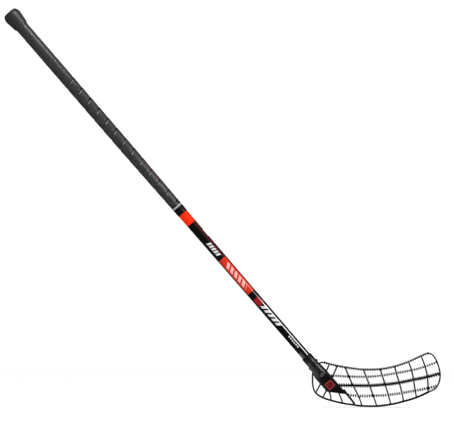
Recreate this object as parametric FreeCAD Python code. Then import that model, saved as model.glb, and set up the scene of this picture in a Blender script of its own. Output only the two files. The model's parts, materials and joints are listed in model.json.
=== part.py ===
"""Floorball stick: tapered tube, wound grip, flared butt end and lattice blade with its screws.

Pieces are turned about an upright shaft axis, with lengths taken down from the butt face, and then
leaned over to the playing position: +X towards the toe, +Y to the back of the blade, +Z up. The
origin is on the shaft axis, where the upper hand holds the grip. Millimetres and degrees.
"""
import FreeCAD
import Part

import math
import os

# Stick
SHAFT_LENGTH = 920.0            # butt face to the tip inside the blade's socket
LIE_ANGLE = 49.2                # shaft above the floor, blade flat on it
HAND_HOLD = 85.0                # butt face to the middle of the upper hand
FIT_CLEARANCE = 0.1             # all round between pieces that slide together
OVERRUN = 5.0                   # how far a cutting shape runs past what it cuts

# Shaft tube
GRIP_RADIUS = 10.8              # outside of the tube under the hands
BAND_RADIUS = 10.0              # outside of the tube at the end of the grip
TIP_RADIUS = 8.7                # outside of the tube in the socket
SHAFT_WALL = 1.6
TAPER_START = 340.0             # from the butt face
TAPER_END = 820.0

# End plug and knob
FLANGE_THICKNESS = 3.5
FLANGE_RADIUS = 14.3
BUTT_FACE_RADIUS = 8.0          # flat part of the butt
STEM_LENGTH = 42.0
STEM_WALL = 2.0
STEM_LEAD = 1.5                 # chamfer that leads the stem into the tube
KNOB_LENGTH = 32.0
KNOB_RADIUS = 16.8              # widest, a little below the flange
KNOB_END_RADIUS = 14.5          # before the rounded lower edge
KNOB_EDGE = 2.2                 # round of the lower edge
KNOB_CROWN_SHARE = 0.24         # of the knob's length, where it is widest

# Wound grip
GRIP_END = 487.0                # from the butt face
TAPE_THICKNESS = 1.0
TAPE_END_THICKNESS = 0.6        # where the strip is drawn tight at the end of the grip
TAPE_PITCH = 25.0
TAPE_SEAM = 0.6                 # open seam between neighbouring turns
TAPE_TAIL = 3.0                 # width of the strip where its slanted ends are cut off
TAPE_SIDES = 20                 # flats in a turn
BAND_LENGTH = 18.0
BAND_THICKNESS = 0.5

# Blade lattice
BLADE_LENGTH = 245.0
BLADE_HEIGHT = 104.5            # sole to the tip of the toe
BLADE_DEPTH = 9.0               # rim and main rib, front to back
INNER_DEPTH = 6.5               # thin ribs and cross bars
ROOT = 0.3                      # how far a bar keeps the full depth beside the rim
HOOK = 18.0                     # how far the toe bends to the front
HOOK_START_SHARE = 0.33
TOP_RIM_WIDTH = 2.0             # between the teeth
TOE_RIM_WIDTH = 2.8
SOLE_RIM_WIDTH = 3.6
HEEL_RIM_WIDTH = 3.1
MAIN_RIB_WIDTH = 3.6            # between the teeth
THIN_RIB_WIDTH = 1.2            # between the teeth
TOOTH_HEIGHT = 1.1              # on each side of a rib or the top rim
TOOTH_PITCH = 4.4
TOOTH_LEAN_SHARE = 0.2          # of the pitch, towards the heel above and the toe below
CROSS_BAR_WIDTH = 2.4
SPUR_WIDTH = 3.1                # bar that carries the neck's toe side down to the sole

# Socket and neck of the blade
SOCKET_DEPTH = 56.0             # shaft inside the blade
SOCKET_WALL = 1.6               # at the mouth
COLLAR_RADIUS = 12.2            # bead round the collar's slanted lower edge
COLLAR_BEAD = 5.0               # height of the bead
COLLAR_LENGTH_TOE = 20.5
COLLAR_LENGTH_HEEL = 26.0
BODY_START = 30.0               # from the mouth to the full round body below the collar
BODY_RADIUS = 11.3
NECK_HALF_WIDTH = 13.2
NECK_SHIFT = 1.2                # middle of the neck from the shaft axis, to the heel side
NECK_LENGTH = 130.0             # from the mouth, before the foot is cut
SHOULDER = 42.0                 # from the mouth to the end of the round body
FLAT_START = 54.0               # from the mouth to where the flat front and back begin
FLAT_START_DEPTH = 20.4         # front to back there
WEDGE_END = 104.0
WEDGE_END_DEPTH = 9.6           # front to back at WEDGE_END
ROUND_POWER = 2.0               # of the curve round a section: an oval
FLAT_POWER = 5.0                # of the curve round a section: nearly square
SECTION_POINTS = 24

# Blade screws
SCREW_FROM_TIP = 9.5            # screw axis above the tip of the shaft
SCREW_RADIUS = 1.75
SCREW_HEAD_RADIUS = 3.4
SCREW_HEAD_HEIGHT = 1.5
SCREW_SEAT = 0.8                # plastic left under the head
SCREW_REACH = 1.5               # past the tube's wall
SCREW_RECESS_RADIUS = 4.0
SCREW_SOCKET_RADIUS = 1.4       # hexagon in the head
SCREW_SOCKET_DEPTH = 1.2

# Places on the blade, as shares of its length from the heel and of its height from the sole
SHAFT_TIP_SHARES = (0.106, 0.522)
TOP_SHARES = ((0.258, 0.729), (0.400, 0.687), (0.531, 0.696),
              (0.643, 0.745), (0.750, 0.831), (0.847, 0.938))
UPPER_RIB_SHARES = ((0.288, 0.560), (0.422, 0.555), (0.546, 0.580),
                    (0.655, 0.624), (0.773, 0.676), (0.877, 0.745))
MAIN_RIB_SHARES = ((0.320, 0.396), (0.449, 0.395), (0.569, 0.415),
                   (0.678, 0.449), (0.788, 0.504), (0.895, 0.556))
LOWER_RIB_SHARES = ((0.362, 0.206), (0.477, 0.209), (0.593, 0.227),
                    (0.699, 0.262), (0.801, 0.307), (0.901, 0.351))
SOLE_SHARES = ((0.390, 0.027), (0.504, 0.024), (0.613, 0.055),
               (0.711, 0.109), (0.811, 0.182), (0.902, 0.280))
TOE_SHARES = ((0.901, 0.986), (0.938, 0.947), (0.967, 0.842), (0.986, 0.706),
              (0.993, 0.578), (0.982, 0.442), (0.953, 0.342))
HEEL_SOLE_SHARES = ((0.333, 0.042), (0.239, 0.075), (0.142, 0.131), (0.079, 0.184))
HEEL_SHARES = ((0.030, 0.264), (0.010, 0.378), (0.006, 0.515),
               (0.010, 0.651), (0.030, 0.751), (0.060, 0.802))
HEEL_TOP_SHARES = ((0.090, 0.818), (0.135, 0.789), (0.198, 0.755))
UPPER_RIB_END_SHARES = ((0.126, 0.580), (0.969, 0.826))
MAIN_RIB_END_SHARES = ((0.188, 0.402), (0.990, 0.620))
LOWER_RIB_END_SHARES = ((0.278, 0.227), (0.969, 0.396))
SPUR_SHARES = ((0.246, 0.324), (0.274, 0.238), (0.333, 0.060))
HEEL_BAR_SHARES = (
    ((0.136, 0.787), (0.107, 0.624)),
    ((0.198, 0.751), (0.149, 0.496)),
    ((0.079, 0.478), (0.031, 0.264)),
    ((0.122, 0.351), (0.086, 0.178)),
    ((0.130, 0.315), (0.146, 0.209), (0.149, 0.138)),
    ((0.200, 0.306), (0.226, 0.169), (0.238, 0.084)),
)
FOOT_SHARES = ((0.134, 0.278), (0.266, 0.238))

# Worked out from the sizes above
ORIGIN = FreeCAD.Vector(0, 0, 0)
DEPTH_AXIS = FreeCAD.Vector(0, 1, 0)
UP_AXIS = FreeCAD.Vector(0, 0, 1)
MOUTH = SHAFT_LENGTH - SOCKET_DEPTH
KNOB_TOP = FLANGE_THICKNESS
KNOB_END = KNOB_TOP + KNOB_LENGTH
BAND_END = GRIP_END + BAND_LENGTH
SCREW_PLACE = SHAFT_LENGTH - SCREW_FROM_TIP


def level(below_butt):
    """Height on the upright axis of a place given from the butt face."""
    return HAND_HOLD - below_butt


def tube_radius(below_butt):
    """Outside radius of the tapered tube."""
    if below_butt <= TAPER_START:
        return GRIP_RADIUS
    if below_butt <= BAND_END:
        gone = (below_butt - TAPER_START) / (BAND_END - TAPER_START)
        return GRIP_RADIUS + gone * (BAND_RADIUS - GRIP_RADIUS)
    if below_butt <= TAPER_END:
        gone = (below_butt - BAND_END) / (TAPER_END - BAND_END)
        return BAND_RADIUS + gone * (TIP_RADIUS - BAND_RADIUS)
    return TIP_RADIUS


def profile_point(radius, below_butt):
    """Point of a turned profile."""
    return FreeCAD.Vector(radius, 0, level(below_butt))


def turned(points):
    """Solid turned about the upright axis from a closed profile of (radius, place) points."""
    corners = [profile_point(radius, place) for radius, place in points]
    face = Part.Face(Part.makePolygon(corners + corners[:1]))
    return face.revolve(ORIGIN, UP_AXIS, 360)


def leaned(shape):
    """The upright shape in the playing position."""
    shape.rotate(ORIGIN, DEPTH_AXIS, LIE_ANGLE - 90)
    return shape


def upright_cylinder(radius, top, bottom):
    """Cylinder on the upright axis between two places below the butt face."""
    return Part.makeCylinder(radius, bottom - top, FreeCAD.Vector(0, 0, level(bottom)), UP_AXIS)


def make_shaft():
    """Hollow tube with two tapers and a hole through both walls for the screws."""
    stations = (FLANGE_THICKNESS, TAPER_START, BAND_END, TAPER_END, SHAFT_LENGTH)
    outside = [(tube_radius(place), place) for place in stations]
    inside = [(radius - SHAFT_WALL, place) for radius, place in reversed(outside)]
    tube = turned(outside + inside)
    across = FreeCAD.Vector(0, -GRIP_RADIUS, level(SCREW_PLACE))
    hole = Part.makeCylinder(SCREW_RADIUS + FIT_CLEARANCE, 2 * GRIP_RADIUS, across, DEPTH_AXIS)
    return tube.cut(hole)


def make_end_plug():
    """Flange with a flat butt face and rounded rim, on a hollow stem that fits the tube."""
    stem_radius = GRIP_RADIUS - SHAFT_WALL - FIT_CLEARANCE
    stem_end = FLANGE_THICKNESS + STEM_LENGTH
    rim_drop = FLANGE_RADIUS - BUTT_FACE_RADIUS
    rim_middle = profile_point(BUTT_FACE_RADIUS + rim_drop * math.sin(math.radians(45)),
                               FLANGE_THICKNESS * (1 - math.cos(math.radians(45))))
    edge = profile_point(BUTT_FACE_RADIUS, 0)
    skirt = profile_point(FLANGE_RADIUS, FLANGE_THICKNESS)
    rim = Part.Arc(edge, rim_middle, skirt).toShape()
    rest = Part.makePolygon([
        skirt,
        profile_point(stem_radius, FLANGE_THICKNESS),
        profile_point(stem_radius, stem_end - STEM_LEAD),
        profile_point(stem_radius - STEM_LEAD, stem_end),
        profile_point(stem_radius - STEM_WALL, stem_end),
        profile_point(stem_radius - STEM_WALL, FLANGE_THICKNESS),
        profile_point(0, FLANGE_THICKNESS),
        profile_point(0, 0),
        edge,
    ])
    face = Part.Face(Part.Wire([rim] + rest.Edges))
    return face.revolve(ORIGIN, UP_AXIS, 360)


def make_end_knob():
    """Flared sleeve round the tube, widest below the flange, with a rounded lower edge."""
    bore = GRIP_RADIUS + FIT_CLEARANCE
    crown = KNOB_TOP + KNOB_CROWN_SHARE * KNOB_LENGTH
    edge_start = KNOB_END - KNOB_EDGE
    flank = Part.BSplineCurve()
    flank.interpolate([
        profile_point(FLANGE_RADIUS, KNOB_TOP),
        profile_point(KNOB_RADIUS, crown),
        profile_point((KNOB_RADIUS + KNOB_END_RADIUS) / 2, (crown + edge_start) / 2),
        profile_point(KNOB_END_RADIUS, edge_start),
    ])
    round_middle = profile_point(KNOB_END_RADIUS - KNOB_EDGE * (1 - math.cos(math.radians(45))),
                                 edge_start + KNOB_EDGE * math.sin(math.radians(45)))
    round_end = profile_point(KNOB_END_RADIUS - KNOB_EDGE, KNOB_END)
    edge = Part.Arc(profile_point(KNOB_END_RADIUS, edge_start), round_middle, round_end).toShape()
    rest = Part.makePolygon([
        round_end,
        profile_point(bore, KNOB_END),
        profile_point(bore, KNOB_TOP),
        profile_point(FLANGE_RADIUS, KNOB_TOP),
    ])
    face = Part.Face(Part.Wire([flank.toShape(), edge] + rest.Edges))
    return face.revolve(ORIGIN, UP_AXIS, 360)


def tape_sections():
    """Cuts across the strip, one per flat, as its angle and its upper and lower place."""
    half = (TAPE_PITCH - TAPE_SEAM) / 2
    first, last = KNOB_END + FIT_CLEARANCE, GRIP_END
    step = TAPE_PITCH / TAPE_SIDES
    middle = first + TAPE_TAIL - half
    sections = []
    while middle - half <= last - TAPE_TAIL:
        upper = max(middle - half, first)
        lower = min(middle + half, last)
        sections.append((len(sections) * 2 * math.pi / TAPE_SIDES, upper, lower))
        middle += step
    return sections


def tape_thickness(below_butt):
    """Thickness of the strip, which thins from the start of the taper to the end of the grip."""
    gone = max(0, (below_butt - TAPER_START) / (GRIP_END - TAPER_START))
    return TAPE_THICKNESS + gone * (TAPE_END_THICKNESS - TAPE_THICKNESS)


def tape_radius(below_butt):
    """Corner radius inside the strip, so that its flats clear the round tube."""
    return (tube_radius(below_butt) + FIT_CLEARANCE) / math.cos(math.pi / TAPE_SIDES)


def make_grip_tape():
    """One unbroken strip wound down the tube, cut off square with the shaft at both ends."""
    wires = []
    edges = []
    for angle, upper, lower in tape_sections():
        corners = []
        for place, outside in ((upper, False), (lower, False), (lower, True), (upper, True)):
            radius = tape_radius(place) + (tape_thickness(place) if outside else 0)
            corners.append(FreeCAD.Vector(radius * math.cos(angle), radius * math.sin(angle), level(place)))
        wires.append(Part.makePolygon(corners + corners[:1]))
        edges.append(corners)
    turn_gaps = []
    for before, after in zip(edges, edges[TAPE_SIDES:]):
        tops = (after[0], after[3])
        turn_gaps.append(min(low.distanceToPoint(high) for low in before[1:3] for high in tops))
    print("grip tape: %.1f turns, least gap to itself %.2f mm" % (len(wires) / TAPE_SIDES, min(turn_gaps)))
    return Part.makeLoft(wires, True, True)


def make_finishing_tape():
    """Band below the grip, from the strip's outside down to a thin edge on the tube."""
    top = GRIP_END + FIT_CLEARANCE
    top_bore = tube_radius(top) + FIT_CLEARANCE
    end_bore = tube_radius(BAND_END) + FIT_CLEARANCE
    middle = (top + BAND_END) / 2
    return turned([
        (top_bore, top),
        (top_bore + TAPE_END_THICKNESS, top),
        (tube_radius(middle) + FIT_CLEARANCE + BAND_THICKNESS, middle),
        (end_bore + BAND_THICKNESS, BAND_END),
        (end_bore, BAND_END),
    ])


def shaft_tip():
    """Tip of the shaft in the playing position."""
    lie = math.radians(LIE_ANGLE)
    reach = SHAFT_LENGTH - HAND_HOLD
    return FreeCAD.Vector(reach * math.cos(lie), 0, -reach * math.sin(lie))


def blade_point(shares):
    """Place on the blade's plane from its shares of the length and the height."""
    tip = shaft_tip()
    along = (shares[0] - SHAFT_TIP_SHARES[0]) * BLADE_LENGTH
    up = (shares[1] - SHAFT_TIP_SHARES[1]) * BLADE_HEIGHT
    return FreeCAD.Vector(tip.x + along, 0, tip.z + up)


def side_of(tangent):
    """Unit vector across a line on the blade's plane, to its left."""
    return FreeCAD.Vector(-tangent.z, 0, tangent.x).normalize()


def pushed_through(face):
    """Face on the blade's plane, pushed through from front to back past the hook."""
    reach = HOOK + BLADE_DEPTH + OVERRUN
    start = face.translated(FreeCAD.Vector(0, -reach, 0))
    return start.extrude(FreeCAD.Vector(0, 2 * reach, 0))


def line_through(places, closed=False):
    """Smooth line through places on the blade."""
    curve = Part.BSplineCurve()
    curve.interpolate([blade_point(place) for place in places], closed)
    return curve


def beside(curve, places, offsets):
    """Points at signed distances to the left of a line, one beside each of its places."""
    points = []
    for place, offset in zip(places, offsets):
        spot = blade_point(place)
        points.append(spot + side_of(curve.tangent(curve.parameter(spot))[0]) * offset)
    return points


def smooth_edge(points, closed=False):
    """Edge through points."""
    curve = Part.BSplineCurve()
    curve.interpolate(points, closed)
    return curve.toShape()


def bar(places, width):
    """Outline of a plain bar of one width along a smooth line."""
    curve = line_through(places)
    left = beside(curve, places, [width / 2] * len(places))
    right = beside(curve, places, [-width / 2] * len(places))
    edges = [smooth_edge(left), Part.makeLine(left[-1], right[-1]),
             smooth_edge(right[::-1]), Part.makeLine(right[0], left[0])]
    return Part.Face(Part.Wire(edges))


def toothed_bar(places, width):
    """Outline of a rib with leaning teeth on both sides of its width."""
    curve = line_through(places)
    edge = curve.toShape()
    count = int(edge.Length / TOOTH_PITCH)
    pitch = edge.Length / count
    upper, lower = [], []
    for step in range(2 * count + 1):
        height = width / 2 + TOOTH_HEIGHT * (step % 2)
        lean = TOOTH_LEAN_SHARE * pitch * (step % 2)
        spot = edge.getParameterByLength(min(step * pitch / 2, edge.Length))
        along = edge.tangentAt(spot)
        side = side_of(along)
        upper.append(edge.valueAt(spot) + side * height - along * lean)
        lower.append(edge.valueAt(spot) - side * height + along * lean)
    corners = upper + lower[::-1]
    return Part.Face(Part.makePolygon(corners + corners[:1]))


def rim_outline(side, extra=0):
    """Area inside the rim's outer edge, or with side -1 inside its inner edge drawn in by extra."""
    runs = (
        (HEEL_TOP_SHARES, TOP_RIM_WIDTH),
        (TOP_SHARES, TOP_RIM_WIDTH),
        (TOE_SHARES, TOE_RIM_WIDTH),
        (SOLE_SHARES[::-1], SOLE_RIM_WIDTH),
        (HEEL_SOLE_SHARES, SOLE_RIM_WIDTH),
        (HEEL_SHARES, HEEL_RIM_WIDTH),
    )
    places = [place for run, width in runs for place in run]
    offsets = [side * (width / 2 + extra) for run, width in runs for place in run]
    points = beside(line_through(places, True), places, offsets)
    return Part.Face(Part.Wire(smooth_edge(points, True)))


def hooked_slab(depth):
    """Slab of one depth that runs straight past the neck and then bends to the front."""
    heel = blade_point((0, 0)) - FreeCAD.Vector(OVERRUN, 0, OVERRUN)
    bend = blade_point((HOOK_START_SHARE, 0)).x
    toe = blade_point((1, 0)).x + OVERRUN
    reach = blade_point((1, 0)).x - bend
    radius = (reach ** 2 + HOOK ** 2) / (2 * HOOK)

    def spot(x, offset):
        """Point on the slab's surface at an offset to the back of its middle."""
        if x <= bend:
            return FreeCAD.Vector(x, offset, heel.z)
        return FreeCAD.Vector(x, math.sqrt((radius + offset) ** 2 - (x - bend) ** 2) - radius, heel.z)

    half = depth / 2
    middle = (bend + toe) / 2
    front = Part.Arc(spot(bend, -half), spot(middle, -half), spot(toe, -half)).toShape()
    back = Part.Arc(spot(toe, half), spot(middle, half), spot(bend, half)).toShape()
    lines = [
        Part.makeLine(spot(heel.x, -half), spot(bend, -half)),
        front,
        Part.makeLine(spot(toe, -half), spot(toe, half)),
        back,
        Part.makeLine(spot(bend, half), spot(heel.x, half)),
        Part.makeLine(spot(heel.x, half), spot(heel.x, -half)),
    ]
    return Part.Face(Part.Wire(lines)).extrude(FreeCAD.Vector(0, 0, BLADE_HEIGHT + 2 * OVERRUN))


def rib_places(ends, shares):
    """A long rib's places from the neck to the toe."""
    return [ends[0], *shares, ends[1]]


def lattice_outline():
    """Rim, long ribs and cross bars as one flat face with its windows."""
    columns = zip(TOP_SHARES, UPPER_RIB_SHARES, MAIN_RIB_SHARES, LOWER_RIB_SHARES, SOLE_SHARES)
    faces = [
        rim_outline(1).cut(rim_outline(-1)).Faces[0],
        bar(SPUR_SHARES, SPUR_WIDTH),
        toothed_bar(TOP_SHARES, TOP_RIM_WIDTH),
        toothed_bar(rib_places(UPPER_RIB_END_SHARES, UPPER_RIB_SHARES), THIN_RIB_WIDTH),
        toothed_bar(rib_places(MAIN_RIB_END_SHARES, MAIN_RIB_SHARES), MAIN_RIB_WIDTH),
        toothed_bar(rib_places(LOWER_RIB_END_SHARES, LOWER_RIB_SHARES), THIN_RIB_WIDTH),
    ]
    faces += [bar(places, CROSS_BAR_WIDTH) for places in (*columns, *HEEL_BAR_SHARES)]
    return faces[0].multiFuse(faces[1:]).removeSplitter().Faces[0]


def set_back():
    """What is cut from the front and back so that thin ribs and bars lie below the rim and main rib."""
    rib_strip = MAIN_RIB_WIDTH + 2 * (TOOTH_HEIGHT + ROOT)
    main_rib = bar(rib_places(MAIN_RIB_END_SHARES, MAIN_RIB_SHARES), rib_strip)
    spur = bar(SPUR_SHARES, SPUR_WIDTH + 2 * ROOT)
    area = rim_outline(-1, TOOTH_HEIGHT + ROOT).cut([main_rib, spur])
    skins = hooked_slab(BLADE_DEPTH + OVERRUN).cut(hooked_slab(INNER_DEPTH))
    return [pushed_through(face).common(skins) for face in area.Faces]


def make_lattice():
    """Open lattice along the hooked blade."""
    lattice = pushed_through(lattice_outline()).common(hooked_slab(BLADE_DEPTH))
    return lattice.cut(set_back())


def neck_section(below_mouth, half_width, half_depth, power=ROUND_POWER, shift=0):
    """Section of the neck on the upright axis, shifted to the heel side."""
    points = []
    for step in range(SECTION_POINTS):
        angle = 2 * math.pi * step / SECTION_POINTS
        across = math.copysign(abs(math.cos(angle)) ** (2 / power), math.cos(angle)) * half_width
        back = math.copysign(abs(math.sin(angle)) ** (2 / power), math.sin(angle)) * half_depth
        points.append(FreeCAD.Vector(across - shift, back, level(MOUTH + below_mouth)))
    return Part.Wire(smooth_edge(points, True))


def wedge_depth(below_mouth):
    """Half of the neck's depth between its flat front and back."""
    gone = (below_mouth - FLAT_START) / (WEDGE_END - FLAT_START)
    return (FLAT_START_DEPTH + gone * (WEDGE_END_DEPTH - FLAT_START_DEPTH)) / 2


def collar_ring(radius, height):
    """Round of the collar, of a height above its slanted lower edge."""
    toe = profile_point(COLLAR_RADIUS, MOUTH + COLLAR_LENGTH_TOE)
    heel = profile_point(-COLLAR_RADIUS, MOUTH + COLLAR_LENGTH_HEEL)
    past = (heel - toe).normalize() * OVERRUN
    rise = UP_AXIS * height
    corners = [toe - past, heel + past, heel + past + rise, toe - past + rise]
    face = Part.Face(Part.makePolygon(corners + corners[:1]))
    face.translate(FreeCAD.Vector(0, -2 * COLLAR_RADIUS, 0))
    slab = face.extrude(FreeCAD.Vector(0, 4 * COLLAR_RADIUS, 0))
    return upright_cylinder(radius, MOUTH, MOUTH + COLLAR_LENGTH_HEEL + OVERRUN).common(slab)


def make_neck():
    """Socket sleeve with its bead, on a round body that turns into a flat wedge."""
    socket_radius = TIP_RADIUS + FIT_CLEARANCE
    start_radius = socket_radius + SOCKET_WALL / 2
    flat_places = (FLAT_START, WEDGE_END, NECK_LENGTH)
    sections = [
        neck_section(COLLAR_LENGTH_TOE - COLLAR_BEAD, start_radius, start_radius),
        neck_section(BODY_START, BODY_RADIUS, BODY_RADIUS),
        neck_section(SHOULDER, NECK_HALF_WIDTH, BODY_RADIUS, ROUND_POWER, NECK_SHIFT),
    ]
    for place in flat_places:
        sections.append(neck_section(place, NECK_HALF_WIDTH, wedge_depth(place), FLAT_POWER, NECK_SHIFT))
    body = Part.makeLoft(sections, True, True)
    sleeve = collar_ring(socket_radius + SOCKET_WALL, SOCKET_DEPTH)
    return body.fuse([sleeve, collar_ring(COLLAR_RADIUS, COLLAR_BEAD)])


def foot_cut():
    """What is cut from the neck below its foot."""
    heel, toe = (blade_point(place) for place in FOOT_SHARES)
    run = (toe - heel) * (BLADE_LENGTH / (toe - heel).Length)
    drop = FreeCAD.Vector(0, 0, -BLADE_HEIGHT)
    corners = [heel - run, toe + run, toe + run + drop, heel - run + drop]
    face = Part.Face(Part.makePolygon(corners + corners[:1]))
    face.translate(FreeCAD.Vector(0, -BODY_RADIUS - OVERRUN, 0))
    return face.extrude(FreeCAD.Vector(0, 2 * (BODY_RADIUS + OVERRUN), 0))


def screw_seat():
    """Distance from the shaft axis to the underside of a screw head."""
    return TIP_RADIUS + FIT_CLEARANCE + SCREW_SEAT


def make_blade():
    """Lattice and neck in one moulding, with the tube's socket and the recessed screw holes."""
    neck = leaned(make_neck()).cut(foot_cut())
    blade = make_lattice().fuse(neck)
    bore = upright_cylinder(TIP_RADIUS + FIT_CLEARANCE, MOUTH - OVERRUN, SHAFT_LENGTH)
    cuts = [bore]
    for side in (-1, 1):
        outward = FreeCAD.Vector(0, side, 0)
        centre = FreeCAD.Vector(0, 0, level(SCREW_PLACE))
        cuts.append(Part.makeCylinder(SCREW_RADIUS + FIT_CLEARANCE, BODY_RADIUS + OVERRUN, centre, outward))
        seat = centre + outward * screw_seat()
        cuts.append(Part.makeCylinder(SCREW_RECESS_RADIUS, BODY_RADIUS, seat, outward))
    return blade.cut([leaned(cut) for cut in cuts])


def make_screw(side):
    """Domed screw with a hexagon socket, from its seat in the blade through the tube's wall."""
    outward = FreeCAD.Vector(0, side, 0)
    seat = FreeCAD.Vector(0, side * screw_seat(), level(SCREW_PLACE))
    tip = TIP_RADIUS - SHAFT_WALL - SCREW_REACH
    shank = Part.makeCylinder(SCREW_RADIUS, screw_seat() - tip, seat, -outward)
    head = Part.makeCylinder(SCREW_HEAD_RADIUS, SCREW_HEAD_HEIGHT, seat, outward)
    dome = [edge for edge in head.Edges if abs(edge.CenterOfMass.y) > screw_seat() + SCREW_HEAD_HEIGHT / 2]
    head = head.makeFillet(SCREW_HEAD_HEIGHT / 2, [edge for edge in dome if len(edge.Vertexes) == 1])
    corners = []
    for step in range(6):
        angle = step * math.pi / 3
        corner = FreeCAD.Vector(math.cos(angle), 0, math.sin(angle)) * SCREW_SOCKET_RADIUS
        corners.append(seat + outward * SCREW_HEAD_HEIGHT + corner)
    hexagon = Part.Face(Part.makePolygon(corners + corners[:1])).extrude(-outward * SCREW_SOCKET_DEPTH)
    return shank.fuse(head).cut(hexagon)


def main():
    """Writes each piece, in the playing position, to its own file."""
    os.makedirs("parts", exist_ok=True)
    pieces = {
        "shaft": leaned(make_shaft()),
        "end_plug": leaned(make_end_plug()),
        "end_knob": leaned(make_end_knob()),
        "grip_tape": leaned(make_grip_tape()),
        "finishing_tape": leaned(make_finishing_tape()),
        "blade": make_blade(),
        "front_screw": leaned(make_screw(-1)),
        "rear_screw": leaned(make_screw(1)),
    }
    for name, shape in pieces.items():
        box = shape.BoundBox
        print("%s: valid %s, solids %d, volume %.0f mm3, x %.1f to %.1f, y %.1f to %.1f, z %.1f to %.1f" % (
            name, shape.isValid(), len(shape.Solids), shape.Volume,
            box.XMin, box.XMax, box.YMin, box.YMax, box.ZMin, box.ZMax))
        shape.exportStep("parts/%s.step" % name)


main()
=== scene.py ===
# %% [markdown]
# # A floorball stick
# The stick is a long tapered tube with a wound grip, a flared butt end and a flat moulded lattice for a
# blade. The imported part gives every piece its place. This file gives the pieces their rounded edges, their
# windings and their finishes. The scene starts empty, and the box that the imported part fills is kept to
# place the floor under the sole.

import json
import math

import bmesh
import bpy
from mathutils import Matrix, Vector
from mathutils.geometry import interpolate_bezier

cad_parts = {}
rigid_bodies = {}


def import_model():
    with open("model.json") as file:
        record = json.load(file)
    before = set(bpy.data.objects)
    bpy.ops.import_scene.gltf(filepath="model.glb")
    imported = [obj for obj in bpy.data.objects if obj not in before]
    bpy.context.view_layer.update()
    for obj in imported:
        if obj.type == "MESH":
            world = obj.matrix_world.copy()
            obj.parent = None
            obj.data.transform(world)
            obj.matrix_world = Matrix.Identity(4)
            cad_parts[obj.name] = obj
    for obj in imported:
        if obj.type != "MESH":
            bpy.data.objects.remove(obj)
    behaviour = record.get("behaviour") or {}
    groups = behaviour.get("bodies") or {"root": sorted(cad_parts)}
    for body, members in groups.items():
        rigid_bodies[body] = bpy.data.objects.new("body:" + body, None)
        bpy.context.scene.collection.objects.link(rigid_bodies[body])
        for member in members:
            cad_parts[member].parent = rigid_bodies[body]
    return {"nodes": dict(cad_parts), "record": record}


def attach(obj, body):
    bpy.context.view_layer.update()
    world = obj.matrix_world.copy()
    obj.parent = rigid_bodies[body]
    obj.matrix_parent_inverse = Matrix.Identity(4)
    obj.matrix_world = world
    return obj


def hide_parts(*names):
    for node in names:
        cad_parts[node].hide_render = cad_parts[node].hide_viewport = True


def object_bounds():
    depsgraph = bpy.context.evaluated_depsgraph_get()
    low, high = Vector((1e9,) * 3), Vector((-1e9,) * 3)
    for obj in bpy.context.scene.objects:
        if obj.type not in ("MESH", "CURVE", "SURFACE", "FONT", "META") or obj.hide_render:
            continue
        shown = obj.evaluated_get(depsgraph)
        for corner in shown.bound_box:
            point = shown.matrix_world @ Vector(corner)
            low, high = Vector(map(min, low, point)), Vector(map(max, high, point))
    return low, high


for leftover in list(bpy.data.objects):
    bpy.data.objects.remove(leftover)
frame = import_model()
cad_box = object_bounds()
print("packed nodes:", ", ".join(sorted(frame["nodes"])))

# %% [markdown]
# Almost every piece is round about the shaft, and the shaft leans. It is far easier to model such pieces
# upright, with lengths taken down from the butt face, and to lean the finished mesh over. The lean comes
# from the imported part: its hand hold says which way the shaft points, and its butt face says how far above
# the origin the stick ends.

# %% The shaft's own axes
MM = 0.001
mounts = {mount["name"]: mount for mount in frame["record"]["mounts"]}
UP_SHAFT = Vector(mounts["hand_grip"]["axis"]).normalized()
LEAN = Vector((0, 0, 1)).rotation_difference(UP_SHAFT).to_matrix().to_4x4()
BUTT_HEIGHT = Vector(mounts["butt_face"]["pos_m"]).length


def level(below_butt):
    """Height on the upright axis of a place below the butt face."""
    return BUTT_HEIGHT - below_butt


print("the shaft rises %.1f degrees above the floor" % math.degrees(math.asin(UP_SHAFT.z)))

# %% [markdown]
# The tube is even under the hands, then narrows in two stages to its tip in the blade's socket. Its radius
# at any place is found by going from the station above to the station below.

# %% Stations of the tube
TIP_PLACE = 920 * MM
TIP_RADIUS = 8.7 * MM
TUBE_STATIONS = ((3.5 * MM, 10.8 * MM), (340 * MM, 10.8 * MM), (505 * MM, 10 * MM), (820 * MM, TIP_RADIUS),
                 (TIP_PLACE, TIP_RADIUS))


def tube_radius(below_butt):
    """Outer radius of the tube at a place below the butt face."""
    for (upper, wide), (lower, narrow) in zip(TUBE_STATIONS, TUBE_STATIONS[1:]):
        if below_butt <= lower:
            share = max(0, (below_butt - upper) / (lower - upper))
            return wide + share * (narrow - wide)
    return TIP_RADIUS


print("tube radius: %.2f mm under the hands, %.2f mm in the socket" % (tube_radius(0) / MM, TIP_RADIUS / MM))

# %% [markdown]
# Every new piece ends in the same way: doubles are merged, faces are turned outwards, the mesh gets soft
# shading with sharp edges kept where the surface really turns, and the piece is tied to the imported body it
# belongs to.

# %% Finish a piece
SHARP_ANGLE = math.radians(38)
MERGE_DISTANCE = 0.002 * MM


def finish_piece(name, mesh, finish, replaced=()):
    """Makes a piece of the object from a finished mesh: shaded, painted, and riding on the stick."""
    mesh.name = name
    mesh.shade_smooth()
    mesh.set_sharp_from_angle(angle=SHARP_ANGLE)
    if mesh.materials:
        mesh.materials.clear()
    for material in finish:
        mesh.materials.append(material)
    piece = bpy.data.objects.new(name, mesh)
    bpy.context.scene.collection.objects.link(piece)
    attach(piece, "root")
    if replaced:
        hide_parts(*replaced)
    print("%s: %d faces" % (name, len(mesh.polygons)))


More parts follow.
